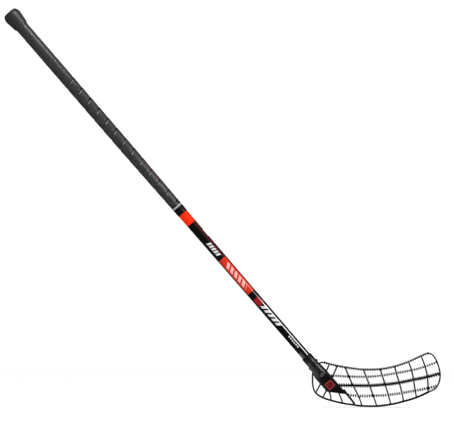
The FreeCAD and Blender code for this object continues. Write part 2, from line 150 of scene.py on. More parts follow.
def closed_mesh(shape, lean=True):
    """A mesh from a bmesh, merged, leaned over with the shaft and turned outwards."""
    bmesh.ops.remove_doubles(shape, verts=shape.verts[:], dist=MERGE_DISTANCE)
    bmesh.ops.recalc_face_normals(shape, faces=shape.faces[:])
    if lean:
        bmesh.ops.transform(shape, matrix=LEAN, verts=shape.verts[:])
    open_edges = sum(1 for edge in shape.edges if len(edge.link_faces) != 2)
    mesh = bpy.data.meshes.new("piece")
    shape.to_mesh(mesh)
    shape.free()
    if open_edges:
        print("open edges:", open_edges)
    return mesh


# %% [markdown]
# Finishes come next. Several of them need the same fine grain, moulded or woven into the surface, so that
# is a node group: built once, and placed in each material with its own scale. All patterns read Object
# coordinates. A Mapping node turns those to the shaft, so that the third coordinate runs up the stick in
# every finish.

# %% A group for grain
def new_node(tree, kind, **settings):
    """A node with its settings."""
    node = tree.nodes.new(kind)
    for name, value in settings.items():
        setattr(node, name, value)
    return node


def fill(tree, target, value):
    """Feeds a socket from another socket, or sets it to a plain value."""
    if isinstance(value, bpy.types.NodeSocket):
        tree.links.new(value, target)
    else:
        target.default_value = value


def sum_of(tree, operation, *values):
    """The result of one Math node."""
    node = new_node(tree, "ShaderNodeMath", operation=operation)
    for target, value in zip(node.inputs, values):
        fill(tree, target, value)
    return node.outputs[0]


def new_group(name, inputs, outputs):
    """An empty node group with named float or vector sockets, and its two end nodes."""
    group = bpy.data.node_groups.new(name, "ShaderNodeTree")
    for socket, kind in inputs:
        group.interface.new_socket(socket, in_out="INPUT", socket_type=kind)
    for socket, kind in outputs:
        group.interface.new_socket(socket, in_out="OUTPUT", socket_type=kind)
    return group, new_node(group, "NodeGroupInput"), new_node(group, "NodeGroupOutput")


FLOAT, VECTOR = "NodeSocketFloat", "NodeSocketVector"


def grain_group():
    """Fine pits over a slow unevenness, as a height and as a mottle."""
    group, given, result = new_group(
        "fine grain",
        [("Vector", VECTOR), ("Pit scale", FLOAT), ("Mottle scale", FLOAT)],
        [("Height", FLOAT), ("Mottle", FLOAT)],
    )
    pits = new_node(group, "ShaderNodeTexNoise")
    pits.inputs["Detail"].default_value = 3
    mottle = new_node(group, "ShaderNodeTexNoise")
    for noise, scale in ((pits, "Pit scale"), (mottle, "Mottle scale")):
        group.links.new(given.outputs["Vector"], noise.inputs["Vector"])
        group.links.new(given.outputs[scale], noise.inputs["Scale"])
    group.links.new(pits.outputs["Fac"], result.inputs["Height"])
    group.links.new(mottle.outputs["Fac"], result.inputs["Mottle"])
    return group


GRAIN = grain_group()
print("group:", GRAIN.name)

# %% [markdown]
# A finish starts from the same three nodes: the object's coordinates, the turn to the shaft and the shader.
# The helper for grained finishes then adds the grain as a bump, and lets the mottle shift the roughness a
# little, because no moulded or handled surface is equally dull all over.

# %% Grained finishes
def new_finish(name):
    """A material's tree, its shader and the coordinates turned to the shaft."""
    material = bpy.data.materials.new(name)
    material.use_nodes = True
    tree = material.node_tree
    shader = tree.nodes["Principled BSDF"]
    place = new_node(tree, "ShaderNodeTexCoord")
    turn = new_node(tree, "ShaderNodeMapping", vector_type="TEXTURE")
    turn.inputs["Rotation"].default_value = LEAN.to_euler()
    tree.links.new(place.outputs["Object"], turn.inputs["Vector"])
    return material, tree, shader, turn.outputs["Vector"]


MOTTLE_SHARE = 1 / 12


def add_grain(tree, shader, coordinates, pit_scale, depth, dull, shine):
    """Grain on a finish: pits of a depth in metres, and a roughness between shine and dull."""
    grain = new_node(tree, "ShaderNodeGroup", node_tree=GRAIN)
    tree.links.new(coordinates, grain.inputs["Vector"])
    grain.inputs["Pit scale"].default_value = pit_scale
    grain.inputs["Mottle scale"].default_value = pit_scale * MOTTLE_SHARE
    bump = new_node(tree, "ShaderNodeBump")
    bump.inputs["Distance"].default_value = depth
    tree.links.new(grain.outputs["Height"], bump.inputs["Height"])
    tree.links.new(bump.outputs["Normal"], shader.inputs["Normal"])
    spread = new_node(tree, "ShaderNodeMapRange")
    spread.inputs["To Min"].default_value = shine
    spread.inputs["To Max"].default_value = dull
    tree.links.new(grain.outputs["Mottle"], spread.inputs["Value"])
    tree.links.new(spread.outputs["Result"], shader.inputs["Roughness"])
    return grain


def grained_finish(name, colour, metallic=0.0, **grain):
    """A one-colour finish with grain."""
    material, tree, shader, coordinates = new_finish(name)
    shader.inputs["Base Color"].default_value = (*colour, 1)
    shader.inputs["Metallic"].default_value = metallic
    add_grain(tree, shader, coordinates, **grain)
    return material


CHARCOAL = (0.019, 0.019, 0.020)
STEEL = (0.42, 0.42, 0.43)
knob_finish = grained_finish("charcoal rubber", CHARCOAL, pit_scale=1100, depth=0.12 * MM, dull=0.44,
                             shine=0.34)
plug_finish = grained_finish("charcoal plug plastic", CHARCOAL, pit_scale=1500, depth=0.05 * MM, dull=0.44,
                             shine=0.34)
steel = grained_finish("plated steel", STEEL, metallic=1.0, pit_scale=2500, depth=0.01 * MM, dull=0.38,
                       shine=0.26)
print("grained finishes: knob, plug, screws")

# %% [markdown]
# The tube is lacquered black with red patches, and its front carries rows of light marks. A patch is a
# stretch along the shaft and a stretch around it, and one Compare node gives each stretch. A row of slanted
# bars is a stretch too, cut up by the fraction of a slanted coordinate. The tube has four such rows, so the
# row is a group.

# %% A group for a row of slanted bars
def bars_group():
    """Mask of slanted bars in a row along the shaft, on a strip around the tube, in millimetres."""
    sockets = ("Place", "Around", "Start", "End", "Half height", "Pitch", "Bar share", "Slant")
    group, given, result = new_group("row of bars", [(name, FLOAT) for name in sockets], [("Mask", FLOAT)])
    value = given.outputs
    half = sum_of(group, "MULTIPLY", sum_of(group, "SUBTRACT", value["End"], value["Start"]), 0.5)
    middle = sum_of(group, "ADD", value["Start"], half)
    shift = sum_of(group, "MULTIPLY", value["Around"], value["Slant"])
    slanted = sum_of(group, "ADD", value["Place"], shift)
    stretch = sum_of(group, "COMPARE", slanted, middle, half)
    strip = sum_of(group, "COMPARE", value["Around"], 0, value["Half height"])
    turns = sum_of(group, "DIVIDE", sum_of(group, "SUBTRACT", slanted, value["Start"]), value["Pitch"])
    bar = sum_of(group, "LESS_THAN", sum_of(group, "FRACT", turns), value["Bar share"])
    mask = sum_of(group, "MULTIPLY", sum_of(group, "MULTIPLY", stretch, strip), bar)
    group.links.new(mask, result.inputs["Mask"])
    return group


BARS = bars_group()
print("group:", BARS.name)

# %% [markdown]
# The lacquer puts those masks over each other, from the black ground up. The place along the shaft comes
# from the third coordinate. The place around it is the angle from the front times the tube's radius, so
# that marks keep their size on the round tube. Two tables hold the patches and the rows, so each has one
# line and a loop paints them all. The wide red stretch is three patches, which leaves a black line down
# each side of the tube.

# %% Lacquer of the tube
BLACK = (0.002, 0.002, 0.0022)
BRIGHT_RED = (0.64, 0.019, 0.002)
RED = (0.43, 0.022, 0.009)
DARK_RED = (0.22, 0.008, 0.010)
PALE_PINK = (0.70, 0.32, 0.29)
LIGHT_GREY = (0.50, 0.50, 0.51)
WHITE = (0.85, 0.80, 0.80)
MAROON = (0.045, 0.003, 0.006)
HALF_TURN = math.pi * TIP_RADIUS / MM
LACQUER_ROUGHNESS = 0.06
# colour, then millimetres: start and end below the butt face, left and right of the front
PATCHES = (
    (BRIGHT_RED, 505.5, 530.5, -HALF_TURN, HALF_TURN),
    (MAROON, 530.5, 619.5, 4.4, 16),
    (WHITE, 553, 570, 10, 17),
    (RED, 619.5, 703, -8.2, 8.2),
    (RED, 619.5, 703, 19.1, HALF_TURN),
    (RED, 619.5, 703, -HALF_TURN, -19.1),
    (DARK_RED, 718, 734, -6.5, 5.5),
)
# colour, start, end, half height and pitch in millimetres, share of a bar in its pitch, slant
ROWS = (
    (PALE_PINK, 634, 690, 4.6, 11, 0.62, 0.7),
    (LIGHT_GREY, 580, 612, 3.6, 6.5, 0.66, -0.5),
    (LIGHT_GREY, 738, 790, 3.8, 10.5, 0.60, -0.9),
    (LIGHT_GREY, 813, 843, 1.3, 5, 0.62, 0.4),
)


def paint(tree, ground, colour, mask):
    """A colour laid over the ground where the mask is one."""
    mix = new_node(tree, "ShaderNodeMix", data_type="RGBA")
    fill(tree, mix.inputs["Factor"], mask)
    fill(tree, mix.inputs["A"], ground if isinstance(ground, bpy.types.NodeSocket) else (*ground, 1))
    mix.inputs["B"].default_value = (*colour, 1)
    return mix.outputs["Result"]


def stretch_of(tree, value, start, end):
    """Mask of a stretch of a coordinate."""
    return sum_of(tree, "COMPARE", value, (start + end) / 2, (end - start) / 2)


def overlap_of(tree, *masks):
    """Mask of what lies in all of some masks."""
    common = masks[0]
    for mask in masks[1:]:
        common = sum_of(tree, "MULTIPLY", common, mask)
    return common


def shaft_places(tree, coordinates, radius):
    """Millimetres below the butt face, and around the shaft from its front at a radius."""
    split = new_node(tree, "ShaderNodeSeparateXYZ")
    tree.links.new(coordinates, split.inputs[0])
    right, back, up = split.outputs
    place = sum_of(tree, "DIVIDE", sum_of(tree, "SUBTRACT", BUTT_HEIGHT, up), MM)
    angle = sum_of(tree, "ARCTAN2", right, sum_of(tree, "MULTIPLY", back, -1))
    return place, sum_of(tree, "MULTIPLY", angle, radius / MM)


def lacquer_finish():
    """Glossy lacquer with red patches and plain light marks."""
    material, tree, shader, coordinates = new_finish("banded lacquer")
    place, around = shaft_places(tree, coordinates, TIP_RADIUS)
    colour = BLACK
    for patch, start, end, left, right in PATCHES:
        mask = overlap_of(tree, stretch_of(tree, place, start, end), stretch_of(tree, around, left, right))
        colour = paint(tree, colour, patch, mask)
    for mark, *sizes in ROWS:
        row = new_node(tree, "ShaderNodeGroup", node_tree=BARS)
        for target, value in zip(row.inputs, (place, around, *sizes)):
            fill(tree, target, value)
        colour = paint(tree, colour, mark, row.outputs["Mask"])
    tree.links.new(colour, shader.inputs["Base Color"])
    shader.inputs["Roughness"].default_value = LACQUER_ROUGHNESS
    return material


lacquer = lacquer_finish()
print("lacquer: %d nodes" % len(lacquer.node_tree.nodes))

# %% [markdown]
# The grip's strip is a soft charcoal that handling has made uneven, so the mottle of its grain shifts its
# colour too. Between two turns a dark seam is painted on as painted shade, and the sheen is taken out there
# too; it fades in towards the right-hand side of the tube, where the softboxes are, and is gone on the left.
# On the upper edge of each turn, just right of the front, a pale painted glint stands in for a highlight.
# Both follow the winding: the place along the shaft plus a share of the place around it unwinds the helix,
# and the fraction of that, counted in pitches, says how far down its turn a point lies. Near the knob the
# turns lie flat, so the painted shade and the painted glint fade out there. Where the strip's cut end meets
# the film band it is painted dark, as painted shade, and a thin dark red dash shows at its side, painted as
# the patches of the tube are.

# %% Finish of the grip
STRIP_PITCH = 25.36 * MM
SEAM_PLACE = 280.6 * MM         # where one turn's upper edge crosses the front
SEAM_LEAD = 2.4 * MM            # how far above the edge the seam's shade starts
SEAM_SHADE = 2.6 * MM
# length along the turn of the painted glint on each turn's upper edge
GLINT_SPAN = 2.0 * MM
FLAT_END = 150 * MM             # the turns lie flat above, and raise their edges below the second place
RAISED_START = 205 * MM
GRIP_MOTTLE = 240
MOTTLE_SPAN = (0.3, 0.7)
# colours
GRIP_DARK = (0.017, 0.017, 0.018)
GRIP_LIGHT = (0.032, 0.032, 0.033)
# painted shade in the seams, a painted glint on the turns' edges, and painted shade at the cut end
SEAM_PAINTED_SHADE = (0.002, 0.002, 0.002)
PAINTED_GLINT_GREY = (0.15, 0.15, 0.15)
CUT_END_SHADE = (0.004, 0.004, 0.004)
DASH_RED = (0.11, 0.004, 0.006)
# stretches in millimetres, around the shaft from its front or below the butt face
SEAM_SHADE_FADE = (-1, 6)
GLINT_RISE = (-1, 0.5)
GLINT_FALL = (5, 3.5)
CUT_END = (483.8, 487.2)
DASH_LENGTH = (386, 430)
DASH_SIDE = (11.5, 18)


def ramp_of(tree, value, start, end):
    """A value that climbs from zero to one over a stretch of a coordinate."""
    ramp = new_node(tree, "ShaderNodeMapRange")
    ramp.inputs["From Min"].default_value = start
    ramp.inputs["From Max"].default_value = end
    tree.links.new(value, ramp.inputs["Value"])
    return ramp.outputs["Result"]


def weaken_sheen(tree, shader, mask, lowest):
    """Lowers the shader's reflection where a mask is one, from its own level to a lower one."""
    sheen = shader.inputs["Specular IOR Level"]
    full = sheen.default_value
    tree.links.new(sum_of(tree, "MULTIPLY_ADD", mask, lowest - full, full), sheen)


def share_of_turn(tree, place, around):
    """How far down its turn of the winding a point lies, from zero to one, starting at the seam's shade."""
    rise = STRIP_PITCH / (math.tau * tube_radius(0))
    unwound = sum_of(tree, "MULTIPLY_ADD", around, rise, place)
    beyond = sum_of(tree, "SUBTRACT", unwound, (SEAM_PLACE - SEAM_LEAD) / MM)
    return sum_of(tree, "FRACT", sum_of(tree, "DIVIDE", beyond, STRIP_PITCH / MM))


def grip_strip_finish():
    """Mottled charcoal with painted shade in the seams, painted glints on the turns' edges and a red dash at
    the toe side.
    """
    material, tree, shader, coordinates = new_finish("charcoal grip")
    grain = add_grain(tree, shader, coordinates, pit_scale=900, depth=0.06 * MM, dull=0.37, shine=0.29)
    grain.inputs["Mottle scale"].default_value = GRIP_MOTTLE
    colour = paint(tree, GRIP_DARK, GRIP_LIGHT, ramp_of(tree, grain.outputs["Mottle"], *MOTTLE_SPAN))
    place, around = shaft_places(tree, coordinates, tube_radius(0))
    turn = share_of_turn(tree, place, around)
    raised = ramp_of(tree, place, FLAT_END / MM, RAISED_START / MM)
    # painted shade in the seams: near black with no sheen, fading in towards the right-hand side of the tube
    seam = sum_of(tree, "LESS_THAN", turn, SEAM_SHADE / STRIP_PITCH)
    shade = overlap_of(tree, seam, raised, ramp_of(tree, around, *SEAM_SHADE_FADE))
    colour = paint(tree, colour, SEAM_PAINTED_SHADE, shade)
    weaken_sheen(tree, shader, shade, 0)
    # a painted glint: a pale patch on each turn's upper edge, just right of the front, standing in for a
    # highlight
    edge = stretch_of(tree, turn, SEAM_LEAD / STRIP_PITCH, (SEAM_LEAD + GLINT_SPAN) / STRIP_PITCH)
    rise, fall = ramp_of(tree, around, *GLINT_RISE), ramp_of(tree, around, *GLINT_FALL)
    painted_glint = overlap_of(tree, edge, raised, rise, fall)
    colour = paint(tree, colour, PAINTED_GLINT_GREY, painted_glint)
    # painted shade where the strip's cut end meets the film band
    colour = paint(tree, colour, CUT_END_SHADE, stretch_of(tree, place, *CUT_END))
    dash = overlap_of(tree, stretch_of(tree, place, *DASH_LENGTH), stretch_of(tree, around, *DASH_SIDE))
    colour = paint(tree, colour, DASH_RED, dash)
    tree.links.new(colour, shader.inputs["Base Color"])
    return material


grip_finish = grip_strip_finish()
print("grip finish: %d nodes" % len(grip_finish.node_tree.nodes))

# %% [markdown]
# The blade is moulded in black plastic. Its sleeve has a satin sheen, and below the neck's shoulder it is
# duller, so its reflection is lowered along a short stretch of the shaft's axis.

# %% Blade plastic
BLADE_BLACK = (0.003, 0.003, 0.0033)
SHOULDER = (902, 914)           # mm below the butt face
DULL_SHEEN = 0.12


def blade_plastic_finish():
    """Grained black plastic that is satin on the sleeve and duller below the neck's shoulder."""
    material, tree, shader, coordinates = new_finish("satin blade plastic")
    shader.inputs["Base Color"].default_value = (*BLADE_BLACK, 1)
    add_grain(tree, shader, coordinates, pit_scale=1500, depth=0.05 * MM, dull=0.40, shine=0.32)
    place = shaft_places(tree, coordinates, tube_radius(0))[0]
    weaken_sheen(tree, shader, ramp_of(tree, place, *SHOULDER), DULL_SHEEN)
    return material


blade_finish = blade_plastic_finish()
print("blade finish: %d nodes" % len(blade_finish.node_tree.nodes))

# %% [markdown]
# Two small finishes remain: the thin black film that ends the grip, with a pale line at its upper edge, and
# the two reds of the square plate on the blade's neck.

# %% Film and plate
FILM_BLACK = (0.003, 0.003, 0.005)
FILM_PALE = (0.25, 0.255, 0.255)
FILM_LINE = (487, 490.4)        # mm below the butt face
FILM_ROUGHNESS = 0.28
FILM_SHEEN = 0.15
PLATE_RED = (0.09, 0.001, 0.0015)
PLATE_EDGE_RED = (0.185, 0.028, 0.029)
PLATE_ROUGHNESS = 0.42


def film_finish():
    """Black film with a pale line round its upper edge."""
    material, tree, shader, coordinates = new_finish("black film")
    place = shaft_places(tree, coordinates, tube_radius(0))[0]
    colour = paint(tree, FILM_BLACK, FILM_PALE, stretch_of(tree, place, *FILM_LINE))
    tree.links.new(colour, shader.inputs["Base Color"])
    shader.inputs["Roughness"].default_value = FILM_ROUGHNESS
    shader.inputs["Specular IOR Level"].default_value = FILM_SHEEN
    return material


def plain_finish(name, colour, roughness, sheen):
    """A one-colour finish."""
    material = bpy.data.materials.new(name)
    material.use_nodes = True
    shader = material.node_tree.nodes["Principled BSDF"]
    shader.inputs["Base Color"].default_value = (*colour, 1)
    shader.inputs["Roughness"].default_value = roughness
    shader.inputs["Specular IOR Level"].default_value = sheen
    return material


film = film_finish()
plate_red = plain_finish("plate red", PLATE_RED, PLATE_ROUGHNESS, DULL_SHEEN)
plate_edge = plain_finish("plate edge red", PLATE_EDGE_RED, PLATE_ROUGHNESS, DULL_SHEEN)
print("small finishes: film, plate")

# %% [markdown]
# The turned pieces are all made in one way: a closed outline of a few points in one half-plane, spun a full
# turn. A flank that is rounded on the real piece gets its round before the spin, as a smooth line through a
# few places.

# %% Turning
TURN_STEPS = 96


def turned(outline):
    """A closed outline of (radius, place below the butt face) points, spun about the upright axis. A side
    that lies on the axis itself is left out."""
    shape = bmesh.new()
    ring = [shape.verts.new((radius, 0, level(place))) for radius, place in outline]
    pairs = [pair for pair in zip(ring, ring[1:] + ring[:1]) if pair[0].co.x + pair[1].co.x > 0]
    edges = [shape.edges.new(pair) for pair in pairs]
    bmesh.ops.spin(shape, geom=ring + edges, cent=(0, 0, 0), axis=(0, 0, 1), angle=math.tau,
                   steps=TURN_STEPS, use_merge=True)
    return shape


def smooth_line(places, closed=False, steps=6):
    """Points along a smooth line through places, as cubics whose slopes come from the neighbouring places."""
    count = len(places)
    last = count if closed else count - 1

    def spot(index):
        return places[index % count] if closed else places[min(max(index, 0), count - 1)]

    def reach(index):
        return (spot(index + 1) - spot(index - 1)) / 6

    points = []
    for index in range(last):
        knots = (spot(index), spot(index) + reach(index), spot(index + 1) - reach(index + 1), spot(index + 1))
        points += interpolate_bezier(*knots, steps + 1)[:-1]
    return points if closed else points + [places[-1]]


def rounded_run(places):
    """Outline points on a smooth line through (radius, place) pairs in millimetres."""
    line = smooth_line([Vector((radius * MM, place * MM, 0)) for radius, place in places])
    return [(spot.x, spot.y) for spot in line]


# %% [markdown]
# The tube is open from end to end, with a thin wall. Its outline goes down the stations outside and back up
# inside.

# %% Shaft
WALL = 1.6 * MM
tube = [(radius, place) for place, radius in TUBE_STATIONS]
tube += [(radius - WALL, place) for radius, place in reversed(tube)]
finish_piece("lacquered_shaft", closed_mesh(turned(tube)), [lacquer], ["shaft"])

# %% [markdown]
# The plug closes the tube. What shows is its flange, a disc with a flat butt face that rounds off to its
# rim. Below it a hollow stem goes into the tube. Points on the axis would meet in one pole when spun, so
# the face keeps a tiny hollow centre mark, as a moulded disc has at its gate.

# %% End plug
FLANGE = 3.5 * MM
FLANGE_ROUND = ((7.9, 0), (10.3, 0.4), (12.3, 1.05), (13.5, 2.15), (14.2, 3.5))
STEM_RADIUS = 9.1 * MM
STEM_END = 45.5 * MM
STEM_WALL = 2 * MM
GATE_RADIUS = 1.2 * MM
GATE_DEPTH = 0.4 * MM
plug = [(0, GATE_DEPTH), (GATE_RADIUS, GATE_DEPTH), (GATE_RADIUS, 0), *rounded_run(FLANGE_ROUND),
        (STEM_RADIUS, FLANGE), (STEM_RADIUS, STEM_END), (STEM_RADIUS - STEM_WALL, STEM_END),
        (STEM_RADIUS - STEM_WALL, FLANGE), (0, FLANGE)]
finish_piece("butt_plug", closed_mesh(turned(plug)), [plug_finish], ["end_plug"])

# %% [markdown]
# The knob is a soft flared sleeve below the flange, and carries on the flange's round to its widest place.
# From there its flank draws in to the grip, and a thin lip lies over the first turn of the winding.

# %% Knob
KNOB_GAP = 0.1 * MM
KNOB_TOP = FLANGE + KNOB_GAP
KNOB_END = 35.4 * MM
KNOB_BORE = 10.9 * MM
KNOB_FLANK = ((14.35, 3.6), (15.7, 6.2), (16.55, 9.2), (16.8, 12.0), (16.4, 17.0), (15.75, 22.0),
              (15.1, 27.0), (14.6, 32.0), (14.0, 34.4), (13.2, 36.2), (12.4, 38.0))
LIP_RADIUS = 12.3 * MM
LIP_END = 38 * MM
knob = [(KNOB_BORE, KNOB_TOP), *rounded_run(KNOB_FLANK), (LIP_RADIUS, LIP_END), (LIP_RADIUS, KNOB_END),
        (KNOB_BORE, KNOB_END)]
finish_piece("rubber_knob", closed_mesh(turned(knob)), [knob_finish], ["end_knob"])

# %% [markdown]
# The grip is one long strip wound down the tube, each turn lying a little over the turn above it. A spin
# that also moves along the axis at each step winds a cross-section into exactly that helix. The
# cross-section is thickest near its upper edge, which rides on the turn above, and thins out to the lower
# edge, which the next turn covers. The helix starts above the knob and runs on past the grip's end, and two
# plane cuts trim it to length. Near the knob a firm pull has drawn the strip flat, so the heights are
# evened out there, by raising them to a small power.

# %% Wound grip
GRIP_TOP = 35.6 * MM
GRIP_END = 487 * MM
STRIP_STEPS = 40                # per turn
TURNS_ABOVE = 11                # from the seam that is placed to the start of the winding
START_TURN = 1 / 4              # of a turn, from the side where the spin starts to the front
THIN_START = 340 * MM
THIN_SHARE = 0.45
DRAWN_POWER = 0.35              # of the heights where the turns lie flat
STRIP_TOP = ((0.62, 0.0), (0.76, 0.25), (1.05, 0.8), (1.30, 1.4), (1.42, 2.0), (1.42, 3.0), (1.36, 6.0),
             (1.28, 12.0), (1.18, 18.0), (1.02, 22.0), (0.55, 25.2), (0.42, 26.6), (0.30, 28.0))
STRIP_UNDER = ((0.14, 28.0), (0.14, 4.0), (0.45, 2.2), (0.56, 0.6))


def wound_strip():
    """The strip's cross-section wound down an even tube, as a bmesh."""
    shape = bmesh.new()
    base = tube_radius(0)
    first = SEAM_PLACE - STRIP_PITCH * (TURNS_ABOVE + START_TURN)
    outline = [(base + height * MM, first + place * MM) for height, place in STRIP_TOP + STRIP_UNDER]
    ring = [shape.verts.new((radius, 0, level(place))) for radius, place in outline]
    edges = [shape.edges.new((one, two)) for one, two in zip(ring, ring[1:] + ring[:1])]
    turns = math.ceil((GRIP_END - first) / STRIP_PITCH) + 1
    drop = Vector((0, 0, -STRIP_PITCH / STRIP_STEPS))
    bmesh.ops.spin(shape, geom=ring + edges, cent=(0, 0, 0), axis=(0, 0, 1), dvec=drop,
                   angle=-math.tau * turns, steps=STRIP_STEPS * turns)
    return shape


def fit_to_tube(shape):
    """Draws the winding in where the tube narrows, flattens it near the knob and thins it towards its end."""
    full = max(height for height, place in STRIP_TOP) * MM
    for vertex in shape.verts:
        place = BUTT_HEIGHT - vertex.co.z
        radius = math.hypot(vertex.co.x, vertex.co.y)
        thinned = min(1, max(0, (place - THIN_START) / (GRIP_END - THIN_START)))
        raised = min(1, max(0, (place - FLAT_END) / (RAISED_START - FLAT_END)))
        height = full * ((radius - tube_radius(0)) / full) ** (DRAWN_POWER + (1 - DRAWN_POWER) * raised)
        height *= 1 - thinned * (1 - THIN_SHARE)
        vertex.co.x *= (tube_radius(place) + height) / radius
        vertex.co.y *= (tube_radius(place) + height) / radius


def trim(shape, point, away):
    """Cuts off what lies beyond a plane and closes the cut."""
    parts = shape.verts[:] + shape.edges[:] + shape.faces[:]
    cut = bmesh.ops.bisect_plane(shape, geom=parts, plane_co=point, plane_no=away, clear_outer=True,
                                 dist=MERGE_DISTANCE)
    rims = [part for part in cut["geom_cut"] if isinstance(part, bmesh.types.BMEdge)]
    return bmesh.ops.holes_fill(shape, edges=rims)["faces"]


strip = wound_strip()
fit_to_tube(strip)
trim(strip, (0, 0, level(GRIP_TOP)), (0, 0, 1))
trim(strip, (0, 0, level(GRIP_END)), (0, 0, -1))
finish_piece("wound_grip", closed_mesh(strip), [grip_finish], ["grip_tape"])

# %% [markdown]
# A short film band holds the grip's end down. It starts at the height of the grip, drops to the tube, and
# ends in a thin edge.

# %% Finishing band
BAND_END = 505 * MM
FILM = 0.5 * MM
BAND_STATIONS = ((487.1, 0.62), (488.6, 0.68), (491.5, 0.62), (495, 0.54), (499, 0.50), (504.6, 0.46))
band = [(tube_radius(place * MM) + height * MM, place * MM) for place, height in BAND_STATIONS]
band += [(tube_radius(BAND_END) + FILM / 2, BAND_END), (tube_radius(BAND_END) + FILM / 5, BAND_END)]
band += [(tube_radius(GRIP_END) + FILM / 5, BAND_STATIONS[0][0] * MM)]
finish_piece("film_band", closed_mesh(turned(band)), [film], ["finishing_tape"])

# %% [markdown]
# The blade is a flat net of bars in the plane of the shaft, inside one rim. Places on it are given as
# shares of its length from the heel and of its height from the sole, so that the whole net follows from two
# sizes and the shaft's tip. Each bar is a flat curve that Blender pushes out to both sides and rounds: the
# result is a bar with smooth edges and closed ends.

# %% Lines of the blade
BLADE_LENGTH = 245 * MM
BLADE_HEIGHT = 104.5 * MM
SHAFT_TIP = -UP_SHAFT * (TIP_PLACE - BUTT_HEIGHT)
SHAFT_TIP_SHARES = (0.106, 0.522)
TOP = ((0.258, 0.729), (0.400, 0.687), (0.531, 0.696), (0.643, 0.745), (0.750, 0.831), (0.847, 0.938))
UPPER = ((0.288, 0.560), (0.422, 0.555), (0.546, 0.580), (0.655, 0.624), (0.773, 0.676), (0.877, 0.745))
MAIN = ((0.320, 0.396), (0.449, 0.395), (0.569, 0.415), (0.678, 0.449), (0.788, 0.504), (0.895, 0.556))
LOWER = ((0.362, 0.206), (0.477, 0.209), (0.593, 0.227), (0.699, 0.262), (0.801, 0.307), (0.901, 0.351))
SOLE = ((0.390, 0.027), (0.504, 0.024), (0.613, 0.055), (0.711, 0.109), (0.811, 0.182), (0.902, 0.280))
TOE = ((0.901, 0.986), (0.938, 0.947), (0.967, 0.842), (0.986, 0.706), (0.993, 0.578), (0.982, 0.442),
       (0.953, 0.342))
HEEL_SOLE = ((0.333, 0.042), (0.239, 0.075), (0.142, 0.131), (0.079, 0.184))
HEEL = ((0.030, 0.264), (0.010, 0.378), (0.006, 0.515), (0.010, 0.651), (0.030, 0.751), (0.060, 0.802))
HEEL_TOP = ((0.090, 0.818), (0.135, 0.789), (0.198, 0.755))
SPUR = ((0.246, 0.324), (0.274, 0.238), (0.333, 0.060))
HEEL_BARS = (
    ((0.136, 0.787), (0.107, 0.624)),
    ((0.198, 0.751), (0.149, 0.496)),
    ((0.079, 0.478), (0.031, 0.264)),
    ((0.122, 0.351), (0.086, 0.178)),
    ((0.130, 0.315), (0.146, 0.209), (0.149, 0.138)),
    ((0.200, 0.306), (0.226, 0.169), (0.238, 0.084)),
)


def blade_line(shares, closed=False):
    """Smooth line through places on the blade, across its plane and up it, in metres."""
    places = []
    for along, up in shares:
        across = SHAFT_TIP.x + (along - SHAFT_TIP_SHARES[0]) * BLADE_LENGTH
        height = SHAFT_TIP.z + (up - SHAFT_TIP_SHARES[1]) * BLADE_HEIGHT
        places.append(Vector((across, height, 0)))
    return smooth_line(places, closed)


rim_line = blade_line((*HEEL_TOP, *TOP, *TOE, *SOLE[::-1], *HEEL_SOLE, *HEEL), closed=True)
print("rim line: %d points" % len(rim_line))

# %% [markdown]
# A bar's curve lies flat, so it is pushed out along its own third axis, which a quarter turn about the
# first axis brings to the blade's depth. Several lines may share one curve as long as they keep apart.

# %% Bars from curves
STAND_UP = Matrix.Rotation(math.radians(90), 4, "X")


def rounded_bars(lines, width, depth, closed=False, widths=None):
    """Bars with rounded edges along lines of the blade, as one loose object that is used up later."""
    curve = bpy.data.curves.new("bars", "CURVE")
    curve.dimensions = "2D"
    curve.fill_mode = "NONE"
    curve.bevel_depth = width / 2
    curve.bevel_resolution = 2
    curve.extrude = (depth - width) / 2
    curve.use_fill_caps = True
    for line in lines:
        spline = curve.splines.new("POLY")
        spline.points.add(len(line) - 1)
        spline.use_cyclic_u = closed
        for index, (point, spot) in enumerate(zip(spline.points, line)):
            point.co = (*spot, 1)
            point.radius = widths[index] / width if widths else 1
    return loose_mesh(curve)


def loose_mesh(data):
    """A closed, leaned-up mesh object from a curve, not yet part of the stick."""
    source = bpy.data.objects.new("source", data)
    bpy.context.scene.collection.objects.link(source)
    bpy.context.view_layer.update()
    evaluated = source.evaluated_get(bpy.context.evaluated_depsgraph_get())
    shape = bmesh.new()
    mesh = bpy.data.meshes.new_from_object(evaluated)
    shape.from_mesh(mesh)
    bpy.data.meshes.remove(mesh)
    bpy.data.objects.remove(source)
    bpy.data.curves.remove(data)
    bmesh.ops.transform(shape, matrix=STAND_UP, verts=shape.verts[:])
    return loose_object(closed_mesh(shape, lean=False))


def loose_object(mesh):
    """An object for a mesh that is only a step on the way."""
    step = bpy.data.objects.new("step", mesh)
    bpy.context.scene.collection.objects.link(step)
    return step


# %% [markdown]
# The rim is as wide at each point as it is there on the real blade: stoutest along the sole, slimmest along
# the toothed top edge. The long ribs run from the neck to the toe. The cross bars join them from the top
# edge down to the sole, one in each column.

# %% Rim, ribs and cross bars
RIM_WIDTHS = ((HEEL_TOP, 2.4), (TOP, 2.0), (TOE, 2.8), (SOLE, 3.6), (HEEL_SOLE, 3.6), (HEEL, 3.1))
RIM_WIDTH = 3.2 * MM            # that the curve starts from, before the widths above
RIM_DEPTH = 9 * MM
INNER_DEPTH = 6.5 * MM
MAIN_WIDTH = 3.7 * MM
THIN_WIDTH = 0.8 * MM
CROSS_WIDTH = 2.9 * MM
SPUR_WIDTH = 4.2 * MM
LINE_STEPS = len(rim_line) // sum(len(run) for run, width in RIM_WIDTHS)

